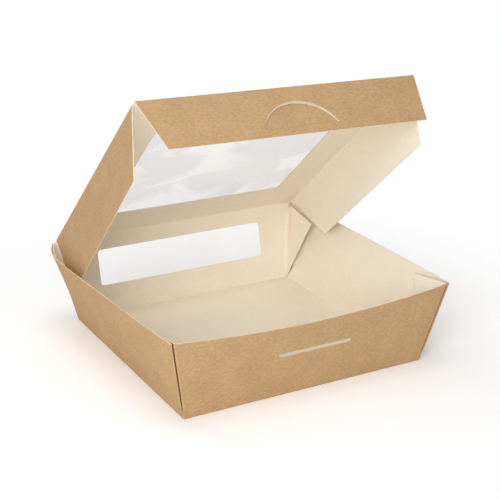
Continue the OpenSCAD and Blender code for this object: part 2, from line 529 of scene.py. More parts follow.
@dataclass(frozen=True)
class WindowFilm:
    """Clear film of the windows.

    Attributes:
        name: the material's name.
        tint: colour of the light that the film passes.
        cloud: colour of the light that the film scatters.
        haze: share of the film that scatters light.
        roughness: roughness of the film's reflection.
        gloss: share that the film reflects square on and at grazing angles.
    """

    name: str
    tint: str
    cloud: str
    haze: float
    roughness: float
    gloss: tuple[float, float]

    def build(self) -> bpy.types.Material:
        """Makes the material.

        Returns:
            The material: mostly see-through, with a thin haze and a gloss that grows at grazing angles.
        """
        material = bpy.data.materials.new(self.name)
        tree = emptied(material)
        # Clouds in the film, about 38 mm across, with soft edges
        flat = add_node(tree, "UVMap", {"uv_map": FLAT_UV}).outputs["UV"]
        clouds = add_noise(tree, flat, 26.0, 4.0, 0.55, 0.6)
        veil = add_node(tree, "ValToRGB", inputs={"Fac": clouds})
        set_ramp(veil, [(0.44, linear(self.tint)), (0.6, linear(WHITE))])
        clear = add_node(tree, "BsdfTransparent", inputs={"Color": veil.outputs["Color"]})
        front = colour_node(tree, "BsdfDiffuse", self.cloud)
        through = colour_node(tree, "BsdfTranslucent", self.cloud)
        body = mix_shaders(tree, self.haze, clear, mix_shaders(tree, 0.6, front, through))
        gloss = add_node(tree, "BsdfGlossy", inputs={"Roughness": self.roughness})
        # A reflection that grows at grazing angles, the same on both faces of the film
        view = add_node(tree, "LayerWeight", inputs={"Blend": 0.5})
        steep = add_node(tree, "Math", {"operation": "POWER"}, {0: view.outputs["Facing"], 1: 5.0})
        share = add_range(tree, steep.outputs[0], (0.0, 1.0), self.gloss)
        shader = mix_shaders(tree, share, body, gloss)
        add_node(tree, "OutputMaterial", inputs={"Surface": shader.outputs["Shader"]})
        return material


# Each face's last colour is the shade painted deep in its narrow gaps
# Unbleached kraft face of the card, outside the box
KRAFT = CardFace("kraft_face", "#bf9c71", "#b48e61", "#cca982", 0.75, 0.65, 0.02, 0.045, "#8a4f22")
# Cream coated face of the card, inside the box
CREAM = CardFace("cream_coated_face", "#f6ecda", "#efe2cc", "#fbf3e5", 0.6, 0.35, 0.006, 0.012, "#94673c")
# The card's pale core, bared where the die has cut it
CUT_EDGE = CardFace("cut_card_edge", "#ead8bd", "#d9c19c", "#f4e8d4", 0.85, 0.6, 0.01, 0.02, "#94673c")
# Clear cellulose film of the lid's window, a little crumpled
LID_FILM = WindowFilm("clear_lid_film", "#f7f7f8", "#f6f5f3", 0.06, 0.08, (0.02, 0.8))
# The same film on the back wall, which hangs flatter and clearer
BACK_FILM = WindowFilm("clear_back_film", "#fefefe", "#f6f5f3", 0.015, 0.08, (0.02, 0.8))
# The same film where the glue wets it to the card, which takes its haze away
GLUED_FILM = WindowFilm("glued_window_film", "#ffffff", "#f6f5f3", 0.0, 0.3, (0.0, 0.05))


@dataclass
class Finishes:
    """The materials of the box, made once.

    Attributes:
        kraft: outside face of the card.
        cream: inside face of the card.
        edge: cut edge of the card.
        lid: film across the lid's window.
        back: film across the back window.
        glued: window film where it is glued to the card.
    """

    kraft: bpy.types.Material = field(default_factory=KRAFT.build)
    cream: bpy.types.Material = field(default_factory=CREAM.build)
    edge: bpy.types.Material = field(default_factory=CUT_EDGE.build)
    lid: bpy.types.Material = field(default_factory=LID_FILM.build)
    back: bpy.types.Material = field(default_factory=BACK_FILM.build)
    glued: bpy.types.Material = field(default_factory=GLUED_FILM.build)

    @property
    def card(self) -> list[bpy.types.Material]:
        """Materials of a card piece: outside, inside, cut edge."""
        return [self.kraft, self.cream, self.edge]

    def clear(self, across: bpy.types.Material) -> list[bpy.types.Material]:
        """Materials of a film piece.

        Args:
            across: the film across the window.

        Returns:
            The faces and edge across the window, then those round it.
        """
        return [across] * 3 + [self.glued] * 3


# Flat outlines


def line(start: Sequence[float], end: Sequence[float], step: float) -> list[tuple[float, float]]:
    """Points along a straight cut, without its last one.

    Args:
        start: first point.
        end: last point, which is left to the next cut.
        step: largest distance between points.

    Returns:
        The points.
    """
    count = max(1, math.ceil(math.dist(start, end) / step))
    return [
        (start[0] + (end[0] - start[0]) * i / count, start[1] + (end[1] - start[1]) * i / count)
        for i in range(count)
    ]


def chain(corners: Sequence[Sequence[float]], step: float) -> list[tuple[float, float]]:
    """Points along straight cuts from corner to corner, at most a step apart, without the last."""
    return [p for a, b in zip(corners, corners[1:]) for p in line(a, b, step)]


def closed(corners: Sequence[Sequence[float]], step: float) -> list[tuple[float, float]]:
    """Points round a polygon, at most a step apart, the first not repeated."""
    return chain([*corners, corners[0]], step)


def rectangle(low: Sequence[float], high: Sequence[float]) -> list[tuple[float, float]]:
    """Corners of a rectangle, anticlockwise from its lowest one."""
    return [(low[0], low[1]), (high[0], low[1]), (high[0], high[1]), (low[0], high[1])]


def arc(
    centre: Sequence[float], radius: float, start: float, end: float, count: int
) -> list[tuple[float, float]]:
    """Points along an arc.

    Args:
        centre: the arc's centre.
        radius: its radius.
        start: first angle in degrees.
        end: last angle in degrees.
        count: number of steps.

    Returns:
        The points, both ends included.
    """
    angles = [math.radians(start + (end - start) * i / count) for i in range(count + 1)]
    return [(centre[0] + radius * math.cos(a), centre[1] + radius * math.sin(a)) for a in angles]


def rounded_window(
    low: Sequence[float], high: Sequence[float], radius: float, step: float
) -> list[tuple[float, float]]:
    """Outline of a rectangle with round corners.

    Args:
        low: lowest corner.
        high: highest corner.
        radius: radius of the corners.
        step: largest distance between points on the straight cuts.

    Returns:
        The points round the window.
    """
    corners = [
        (high[0] - radius, low[1] + radius, -90),
        (high[0] - radius, high[1] - radius, 0),
        (low[0] + radius, high[1] - radius, 90),
        (low[0] + radius, low[1] + radius, 180),
    ]
    turns = [arc(c[:2], radius, c[2], c[2] + 90, count=6) for c in corners]
    points: list[tuple[float, float]] = []
    for i, turn in enumerate(turns):
        points += turn[:-1] + line(turn[-1], turns[(i + 1) % 4][0], step)
    return points


def inside(points: Array, outline: Sequence[Sequence[float]]) -> Array:
    """Tells which points lie inside an outline.

    Args:
        points: points with two coordinates each.
        outline: the outline.

    Returns:
        One truth value for each point.
    """
    ring = np.asarray(outline, float)
    ahead = np.roll(ring, -1, 0)
    result = np.zeros(len(points), bool)
    for a, b in zip(ring, ahead):
        if a[1] == b[1]:
            continue
        crosses = (a[1] > points[:, 1]) != (b[1] > points[:, 1])
        where = (b[0] - a[0]) * (points[:, 1] - a[1]) / (b[1] - a[1]) + a[0]
        result ^= crosses & (points[:, 0] < where)
    return result


def near(points: Array, outline: Sequence[Sequence[float]], distance: float) -> Array:
    """Tells which points lie close to an outline.

    Args:
        points: points with two coordinates each.
        outline: the outline.
        distance: how close.

    Returns:
        One truth value for each point.
    """
    ring = np.asarray(outline, float)
    result = np.zeros(len(points), bool)
    for a, b in zip(ring, np.roll(ring, -1, 0)):
        side = b - a
        share = np.clip(((points - a) @ side) / max(side @ side, TINY), 0, 1)
        result |= np.linalg.norm(points - a - share[:, None] * side, axis=1) < distance
    return result


def unit(vectors: Array) -> Array:
    """Scales a vector, or an array of them along its last axis, to length one."""
    return vectors / np.maximum(np.linalg.norm(vectors, axis=-1, keepdims=True), TINY)


# Sheets


@dataclass
class Sheet:
    """A thin piece of card or film, given by its middle surface.

    Attributes:
        points: points of the middle surface.
        normals: unit normals towards the outside face.
        flat: the points' place on the flat card.
        faces: faces over the points, turned towards the outside.
        group: which set of three materials each face takes; all take the first if it is empty.
    """

    points: Array
    normals: Array
    flat: Array
    faces: list[tuple[int, ...]]
    group: list[int] = field(default_factory=list)

    @classmethod
    def cut(
        cls,
        surface: Surface,
        outline: Sequence[Sequence[float]],
        holes: Sequence[Sequence[Sequence[float]]] = (),
        spacing: float = 4.0,
        flip: bool = False,
        offset: Sequence[float] = (0.0, 0.0),
    ) -> "Sheet":
        """Cuts a sheet to an outline and bends it onto a surface.

        Args:
            surface: gives points in space from two flat coordinates.
            outline: outline in flat coordinates.
            holes: outlines of the holes.
            spacing: distance between the points inside.
            flip: turns the outside face round.
            offset: where the piece lies on the flat card.

        Returns:
            The sheet.
        """
        ring = np.asarray(outline, float)
        low, high = ring.min(0), ring.max(0)
        counts = np.maximum(2, np.ceil((high - low) / spacing).astype(int))
        ticks = [np.linspace(low[i], high[i], counts[i] + 1) for i in (0, 1)]
        grid = np.stack(np.meshgrid(*ticks), -1).reshape(-1, 2)
        keep = inside(grid, outline) & ~near(grid, outline, spacing * KEEP_OFF)
        for hole in holes:
            keep &= ~inside(grid, hole) & ~near(grid, hole, spacing * KEEP_OFF)
        verts, edges = [], []
        for loop in (outline, *holes):
            start, count = len(verts), len(loop)
            edges += [(start + i, start + (i + 1) % count) for i in range(count)]
            verts += [Vector(p) for p in loop]
        verts += [Vector(p) for p in grid[keep]]
        flat, _, faces, *_ = delaunay_2d_cdt(verts, edges, [], 0, WELD)
        flat = np.array([tuple(v) for v in flat])
        middle = np.array([flat[list(f)].mean(0) for f in faces])
        good = inside(middle, outline)
        for hole in holes:
            good &= ~inside(middle, hole)
        faces = [tuple(f) for f, g in zip(faces, good) if g]
        used = sorted({i for f in faces for i in f})
        order = {old: new for new, old in enumerate(used)}
        flat = flat[used]
        faces = [tuple(order[i] for i in f) for f in faces]
        u, v = flat[:, 0], flat[:, 1]
        along = surface(u + PROBE, v) - surface(u - PROBE, v)
        across = surface(u, v + PROBE) - surface(u, v - PROBE)
        return cls(surface(u, v), unit(np.cross(along, across)), flat, faces).turned(flip, offset)

    @classmethod
    def woven(cls, grid: Array, flat: Array, flip: bool = False) -> "Sheet":
        """Makes a sheet from rows of points.

        Args:
            grid: points as rows and columns.
            flat: their place on the flat card.
            flip: turns the outside face round.

        Returns:
            The sheet.
        """
        rows, columns = grid.shape[:2]
        normals = unit(np.cross(np.gradient(grid, axis=1), np.gradient(grid, axis=0)))
        faces = [
            (i, i + 1, i + columns + 1, i + columns)
            for r in range(rows - 1)
            for i in range(r * columns, (r + 1) * columns - 1)
        ]
        sheet = cls(grid.reshape(-1, 3), normals.reshape(-1, 3), flat.reshape(-1, 2), faces)
        return sheet.turned(flip)

    def turned(self, flip: bool, offset: Sequence[float] = (0.0, 0.0)) -> "Sheet":
        """Turns the sheet's outside face round if asked, and lays it elsewhere on the flat card.

        Args:
            flip: whether to turn the outside face round.
            offset: how far the piece is moved on the flat card.

        Returns:
            The sheet itself.
        """
        if flip:
            self.normals = -self.normals
            self.faces = [f[::-1] for f in self.faces]
        self.flat = self.flat + np.asarray(offset)
        return self

    @classmethod
    def joined(cls, sheets: Sequence["Sheet"]) -> "Sheet":
        """Puts several sheets into one piece.

        Args:
            sheets: the sheets.

        Returns:
            One sheet with all their points and faces.
        """
        faces, group, start = [], [], 0
        for sheet in sheets:
            faces += [tuple(i + start for i in f) for f in sheet.faces]
            group += sheet.group or [0] * len(sheet.faces)
            start += len(sheet.points)
        return cls(
            np.vstack([s.points for s in sheets]),
            np.vstack([s.normals for s in sheets]),
            np.vstack([s.flat for s in sheets]),
            faces,
            group,
        )

    def build(
        self, name: str, thickness: float, materials: Sequence[bpy.types.Material]
    ) -> bpy.types.Object:
        """Gives the sheet its thickness and makes an object of it.

        Args:
            name: the object's name.
            thickness: the sheet's thickness.
            materials: materials of the outside, the inside and the cut edge, three for each group.

        Returns:
            The object, at the origin.
        """
        count = len(self.points)
        shift = self.normals * thickness / 2
        outer = [tuple(f) for f in self.faces]
        inner = [tuple(i + count for i in reversed(f)) for f in self.faces]
        group = self.group or [0] * len(outer)
        sides = {
            (f[i], f[(i + 1) % len(f)]): g for f, g in zip(self.faces, group) for i in range(len(f))
        }
        border = sorted((a, b) for a, b in sides if (b, a) not in sides)
        edge = [(b, a, a + count, b + count) for a, b in border]
        mesh = bpy.data.meshes.new(name)
        points = np.vstack([self.points + shift, self.points - shift]) * MM
        mesh.from_pydata(points.tolist(), [], outer + inner + edge)
        for material in materials:
            mesh.materials.append(material)
        kinds = [3 * g for g in group] + [3 * g + 1 for g in group] + [3 * sides[e] + 2 for e in border]
        mesh.polygons.foreach_set("material_index", kinds)
        mesh.polygons.foreach_set("use_smooth", [True] * len(kinds))
        sharp = {frozenset(e) for e in border} | {frozenset((a + count, b + count)) for a, b in border}
        mesh.attributes.new("sharp_edge", "BOOLEAN", "EDGE").data.foreach_set(
            "value", [frozenset(e.vertices) in sharp for e in mesh.edges]
        )
        layer = mesh.uv_layers.new(name=FLAT_UV)
        flat = np.vstack([self.flat, self.flat]) * MM
        loops = np.zeros(len(mesh.loops), int)
        mesh.loops.foreach_get("vertex_index", loops)
        layer.data.foreach_set("uv", flat[loops].astype(np.float32).ravel())
        mesh.update()
        piece = bpy.data.objects.new(name, mesh)
        bpy.context.scene.collection.objects.link(piece)
        return piece


def window_film(
    surface: Surface,
    low: Sequence[float],
    high: Sequence[float],
    window: Sequence[Sequence[float]],
) -> Sheet:
    """Makes a film over a window, with its glued margin as a group of its own.

    Args:
        surface: middle surface of the film.
        low: lowest corner of the film.
        high: highest corner of the film.
        window: outline of the window.

    Returns:
        The film, its outside face towards the card.
    """
    outline = closed(rectangle(low, high), FILM_STEP)
    clear = Sheet.cut(surface, window, spacing=3.0, flip=True)
    margin = Sheet.cut(surface, outline, [window], spacing=4.0, flip=True)
    margin.group = [1] * len(margin.faces)
    return Sheet.joined([clear, margin])


def bezier(points: Sequence[Array], count: int) -> Array:
    """Points along a cubic curve.

    Args:
        points: the start, its handle, the end's handle and the end.
        count: number of steps.

    Returns:
        The points, both ends included.
    """
    t = np.linspace(0, 1, count + 1)[:, None]
    a, b, c, d = (np.asarray(p, float)[None] for p in points)
    return (1 - t) ** 3 * a + 3 * (1 - t) ** 2 * t * b + 3 * (1 - t) * t**2 * c + t**3 * d


def run_length(points: Array) -> Array:
    """Each point's distance from the first one, run along their row."""
    return np.concatenate([[0], np.cumsum(np.linalg.norm(np.diff(points, axis=0), axis=1))])


def crease(
    starts: Array,
    leave: Sequence[float] | Array,
    ends: Array,
    arrive: Sequence[float] | Array,
    steps: int,
    width: float,
) -> tuple[Array, Array]:
    """Rows of points round a crease, between the edges of two pieces of card.

    Args:
        starts: points along the first piece's edge.
        leave: direction in which the card leaves it, one or one for each point.
        ends: points along the second piece's edge.
        arrive: direction in which the card reaches it.
        steps: steps across the crease.
        width: the crease's width on the flat card.

    Returns:
        The points as rows and columns, and how far across the flat crease each column lies.
    """
    leave, arrive = (
        np.broadcast_to(unit(np.asarray(way, float)), starts.shape) for way in (leave, arrive)
    )
    reach = np.linalg.norm(ends - starts, axis=1)[:, None] * CREASE_HANDLE
    rows = [
        bezier((s, s + d * r, e - f * r, e), steps)
        for s, d, e, f, r in zip(starts, leave, ends, arrive, reach)
    ]
    return np.array(rows), width * np.linspace(0, 1, steps + 1)


# The box


@dataclass
class Tray:
    """The tray: base, four walls and the webs folded in at its corners.

    Attributes:
        card: sizes of the card.
        sizes: sizes of the tray.
        fold: how the plies at its corners are drawn.
    """

    card: CardSizes
    sizes: TraySizes
    fold: FoldSizes = FoldSizes()

    def side_surface(self, side: int) -> Surface:
        """Middle surface of a side wall.

        Args:
            side: -1 for the left wall and 1 for the right one.

        Returns:
            A surface of the place along the foot and the height up the slope.
        """
        s = self.sizes
        bow, skew = s.bows[max(side, 0)], s.skews[max(side, 0)]

        def surface(y: Array, up: Array) -> Array:
            """Points of the wall.

            Args:
                y: place along the foot.
                up: height up the slope.

            Returns:
                The points in space.
            """
            opened = np.minimum(1.0, up / self.fold.spread)
            n = self.card.half - self.push(side, s.half_base + y) * opened
            t = y / s.half_base
            lean = np.radians(s.lean + (1 - np.abs(t) ** s.bow_power) * (bow + skew * t))
            depth = t * (s.half_base + up * math.sin(math.radians(s.lean)))
            out = s.half_base + up * np.sin(lean) - n * np.cos(lean)
            return np.stack([side * out, depth, up * np.cos(lean) + n * np.sin(lean)], -1)

        return surface

    def end_surface(self, back: int) -> Surface:
        """Middle surface of the front or back wall.

        Args:
            back: -1 for the front wall and 1 for the back wall.

        Returns:
            A surface of the place across and the height up the slope.
        """
        s, n = self.sizes, self.card.half
        lean = math.radians(s.lean)

        def surface(x: Array, up: Array) -> Array:
            """Points of the wall, from its two flat coordinates."""
            out = s.half_base + up * math.sin(lean) - n * math.cos(lean)
            return np.stack([x, back * out, up * math.cos(lean) + n * math.sin(lean)], -1)

        return surface

    def side_end(self, up: float | Array) -> float | Array:
        """Foot coordinate at which a side wall stops short of the corner's edge, at a height."""
        half, lean = self.sizes.half_base, math.sin(math.radians(self.sizes.lean))
        return half * (1 - self.fold.inset / (half + up * lean))

    def push(self, side: int, gone: float | Array) -> float | Array:
        """How far a side wall's front end stands out, at a distance from the corner's edge."""
        return self.sizes.front_push[max(side, 0)] * np.exp(-gone / self.fold.push_fade)

    def slit(self, side: int, back: int) -> float:
        """Air between the plies of a web at the corner's edge."""
        return self.sizes.slits[0 if back > 0 else 1 + max(side, 0)]

    def end_half(self, up: float | Array, side: int, back: int) -> float | Array:
        """Half the width of the front or back wall, short of a corner's edge and its slit.

        Args:
            up: height up the slope.
            side: -1 on the left and 1 on the right.
            back: -1 in front and 1 at the back.

        Returns:
            The wall's reach from the middle.
        """
        fold = self.fold
        share = np.minimum(1.0, np.asarray(up) / fold.spread)
        short = fold.inset + (fold.turn + self.slit(side, back)) * share + self.rounded(up, back)
        return self.sizes.half_base + up * math.sin(math.radians(self.sizes.lean)) - short

    def rounded(self, up: float | Array, back: int) -> float | Array:
        """How far a corner's inner ply is rounded off, which fades at the base and at the rim.

        Args:
            up: height up the slope.
            back: -1 in front, where nothing is rounded, and 1 at the back.

        Returns:
            The distance along the front or back wall.
        """
        share = np.asarray(up) / self.sizes.wall
        fade = np.minimum(1.0, self.fold.round_in * share) * (1 - share**self.fold.round_power)
        return self.sizes.rounding * fade if back > 0 else 0.0 * fade

    def levels(self) -> Array:
        """Shares of the walls' height at which the corners' rows of points lie."""
        low, count = self.fold.levels
        return np.concatenate([self.fold.low_levels, np.linspace(low, 1, count)])

    def side_wall(self, side: int) -> Sheet:
        """Cuts a side wall.

        Args:
            side: -1 for the left wall and 1 for the right one.

        Returns:
            The wall.
        """
        foot, head = self.card.bend, self.sizes.wall
        low, high = self.side_end(foot), self.side_end(head)
        outline = closed([(-low, foot), (low, foot), (high, head), (-high, head)], CARD_STEP)
        place = (FLAT_WALL * side, 0)
        return Sheet.cut(self.side_surface(side), outline, spacing=3.0, flip=side < 0, offset=place)

    def front_wall(self) -> Sheet:
        """Cuts the front wall, with its dipped rim and the lock's slot.

        Returns:
            The wall.
        """
        s, knee = self.sizes, self.fold.spread
        foot, head = self.card.bend, s.wall
        radius = (s.rim_half**2 + s.dip**2) / (2 * s.dip)
        low, high, top = (
            [self.end_half(up, side, -1) for side in (-1, 1)] for up in (foot, knee, head)
        )
        left, right = (math.degrees(math.asin(end / radius)) for end in top)
        rim = arc((0, head - s.dip + radius), radius, -90 + right, -90 - left, count=90)
        outline = chain([(-low[0], foot), (low[1], foot), (high[1], knee), rim[0]], CARD_STEP)
        outline += rim[:-1] + chain([rim[-1], (-high[0], knee), (-low[0], foot)], CARD_STEP)
        width, height, across, up = s.slot
        half, radius = width / 2 - height / 2, height / 2
        slot = arc((across + half, up), radius, -90, 90, count=8)
        slot += arc((across - half, up), radius, 90, 270, count=8)
        return Sheet.cut(
            self.end_surface(-1), outline, [slot], spacing=3.0, offset=(0, -FLAT_WALL)
        )

    def back_wall(self) -> Sheet:
        """Cuts the back wall, with its window.

        Returns:
            The wall.
        """
        foot, head = self.card.bend, self.sizes.wall
        shares = [float(share) for share in self.levels() if share * head > foot + self.fold.least_row]
        heights = [foot, *(share * head for share in shares)]
        corners = [(self.end_half(up, 1, 1), up) for up in heights]
        corners += [(-self.end_half(up, -1, 1), up) for up in reversed(heights)]
        outline = closed(corners, CARD_STEP)
        return Sheet.cut(
            self.end_surface(1), outline, [self.window()], spacing=3.0, flip=True, offset=(0, FLAT_WALL)
        )

    def window(self) -> list[tuple[float, float]]:
        """Outline of the back window.

        Returns:
            The points round it.
        """
        s = self.sizes
        width, height, low = s.window
        return rounded_window(
            (-width / 2, low), (width / 2, low + height), s.window_radius, CARD_STEP
        )

    def base(self) -> Sheet:
        """Cuts the base.

        Returns:
            The base.
        """
        half = self.sizes.half_base - self.card.bend
        outline = closed(rectangle((-half, -half), (half, half)), CARD_STEP)

        def surface(x: Array, y: Array) -> Array:
            """Points of the base, from its two flat coordinates."""
            return np.stack([x, y, np.full_like(x, self.card.half)], -1)

        return Sheet.cut(surface, outline, spacing=5.0, flip=True)

    def foot_crease(self, surface: Surface, across: bool, sign: int) -> Sheet:
        """Bends the card from the base up into a wall.

        Args:
            surface: the wall's surface.
            across: whether the crease runs along X.
            sign: -1 for the left and front walls, 1 for the others.

        Returns:
            The strip round the crease.
        """
        bend, half = self.card.bend, self.sizes.half_base
        end = half - self.fold.foot_short
        run = np.linspace(-end, end, FOOT_COLUMNS)
        ends, above = (surface(run, np.full_like(run, up)) for up in (bend, bend + EDGE_SPAN))
        out = np.full_like(run, sign * (half - bend))
        level = np.full_like(run, self.card.half)
        starts = np.stack([run, out, level] if across else [out, run, level], -1)
        leave = (0, sign, 0) if across else (sign, 0, 0)
        rows, over = crease(starts, leave, ends, above - ends, FOOT_STEPS, 2 * bend)
        places = np.stack(np.meshgrid(run, over, indexing="ij"), -1)
        return Sheet.woven(rows, places, flip=(sign > 0) != across)

    def corner(self, side: int, back: int) -> Sheet:
        """Folds a corner: side wall, two plies of web, then the front or back wall.

        Args:
            side: -1 on the left and 1 on the right.
            back: -1 in front and 1 at the back.

        Returns:
            The folded card of the corner.
        """
        s, card, fold = self.sizes, self.card, self.fold
        side_wall, end_wall = self.side_surface(side), self.end_surface(back)
        lean = math.radians(s.lean)
        foot = np.array([side * s.half_base, back * s.half_base, 0.0])
        top = np.array([side * s.rim_half, back * s.rim_half, s.rim_z])
        length = float(np.linalg.norm(top - foot))
        up = (top - foot) / length
        inward = np.array([-side * math.cos(lean), 0, math.sin(lean)])
        along = np.array([0.0, -back, 0.0])
        along = unit(along - (along @ up) * up)
        arrive = np.array([-side, 0.0, 0.0])
        which = (side + 1) + (back + 1) // 2
        off, bend = s.web_off[which], s.web_bend[which]
        first = card.thickness + card.ply_gap
        seconds = [card.thickness + slit for slit in (self.slit(side, back), s.fold_slit)]
        rows, places = [], []
        for share in self.levels():
            taper = min(1.0, share / fold.opening)
            reach, drop = share * s.web_reach[which], share * (s.web_tip[which] - length)
            level = share * s.wall

            def ply(x: float, depth: float) -> Array:
                """Point of a ply.

                Args:
                    x: distance along the web from the corner's edge.
                    depth: depth inside the side wall.

                Returns:
                    The point in space.
                """
                height = share * length + drop * x / reach
                away = off * math.tanh(x / bend) * share
                out = self.push(side, x) * taper if back < 0 else 0.0
                return foot + up * height + along * x + inward * (depth + away - out)

            def heading(x: float, depth: float) -> Array:
                """Unit direction in which a ply runs away from the corner's edge."""
                return unit(ply(x + PLY_SPAN, depth) - ply(x - PLY_SPAN, depth))

            def turn(start: Array, leave: Array, end: Array, reach: Array, handle: float) -> Array:
                """Points round a bend, with handles as a share of the distance across it."""
                grip = handle * float(np.linalg.norm(end - start))
                return bezier((start, start + leave * grip, end - reach * grip, end), fold.bend_steps)

            near_corner = min(fold.inset, reach * fold.most_inset)
            near_wall = near_corner + min(float(self.rounded(level, back)), reach * fold.most_round)
            outer = card.half + first * (fold.first_low + (1 - fold.first_low) * taper)
            opening = taper * (fold.slit_low + (1 - fold.slit_low) * share)
            inner, inner_fold = (outer + second * opening for second in seconds)
            side_y = back * self.side_end(level)
            side_ys = np.array([side_y, side_y - back * END_SPAN])
            side_edge, side_in = side_wall(side_ys, np.full(2, level))
            end_x = side * self.end_half(level, side, back)
            end_edge = end_wall(np.array([end_x]), np.array([level]))[0]
            a0, a1 = ply(near_corner, outer), ply(reach, outer)
            b0, b1 = ply(near_wall, inner), ply(reach, inner_fold)
            run = heading(reach, outer)
            steps = np.linspace(near_corner, reach, fold.ply_points)[1:]
            back_steps = np.linspace(reach, near_wall, fold.ply_points)[1:]
            opened = [math.exp((near_wall - x) / fold.slit_fade) for x in back_steps]
            depths = [inner_fold + (inner - inner_fold) * part for part in opened]
            leave, run_out = unit(side_edge - side_in), heading(near_corner, outer)
            row = np.vstack(
                [
                    turn(side_edge, leave, a0, run_out, fold.half_turn),
                    [ply(x, outer) for x in steps],
                    turn(a1, run, b1, -run, fold.half_turn)[1:],
                    [ply(x, depth) for x, depth in zip(back_steps, depths)],
                    turn(b0, -heading(near_wall, inner), end_edge, arrive, fold.swing)[1:],
                ]
            )
            gone = run_length(row)
            rows.append(row)
            places.append(
                np.stack([gone + FLAT_CORNER * side, np.full_like(gone, level + FLAT_CORNER * back)], -1)
            )
        return Sheet.woven(np.array(rows), np.array(places), flip=side * back < 0)

    def build(self, finishes: Finishes) -> bpy.types.Object:
        """Makes the tray.

        Args:
            finishes: the box's materials.

        Returns:
            The tray, riding on its body.
        """
        parts = [self.base(), self.front_wall(), self.back_wall()]
        for side in (-1, 1):
            parts.append(self.side_wall(side))
            parts.append(self.foot_crease(self.side_surface(side), False, side))
            parts.append(self.foot_crease(self.end_surface(side), True, side))
            parts += [self.corner(side, back) for back in (-1, 1)]
        tray = Sheet.joined(parts).build("tray_card", self.card.thickness, finishes.card)
        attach(tray, Body.TRAY.value)
        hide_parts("tray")
        LOG.info("tray: %d faces", len(tray.data.polygons))
        return tray

    def build_film(self, finishes: Finishes) -> bpy.types.Object:
        """Makes the film glued behind the back window.

        Args:
            finishes: the box's materials.

        Returns:
            The film, riding on the tray.
        """
        s, card = self.sizes, self.card
        width, height, low = s.window
        margin, lean = s.film_margin, math.radians(s.lean)
        inwards = np.array([0, -math.cos(lean), math.sin(lean)])
        wall = self.end_surface(1)

        def surface(x: Array, up: Array) -> Array:
            """Points of the film, from its two flat coordinates."""
            return wall(x, up) + inwards * card.film_off

        half, head = width / 2 + margin, min(low + height + margin, s.wall - s.film_rim)
        sheet = window_film(surface, (-half, low - margin), (half, head), self.window())
        film = sheet.build("back_film", card.film, finishes.clear(finishes.back))
        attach(film, Body.TRAY.value)
        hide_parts("back_window_film")
        return film


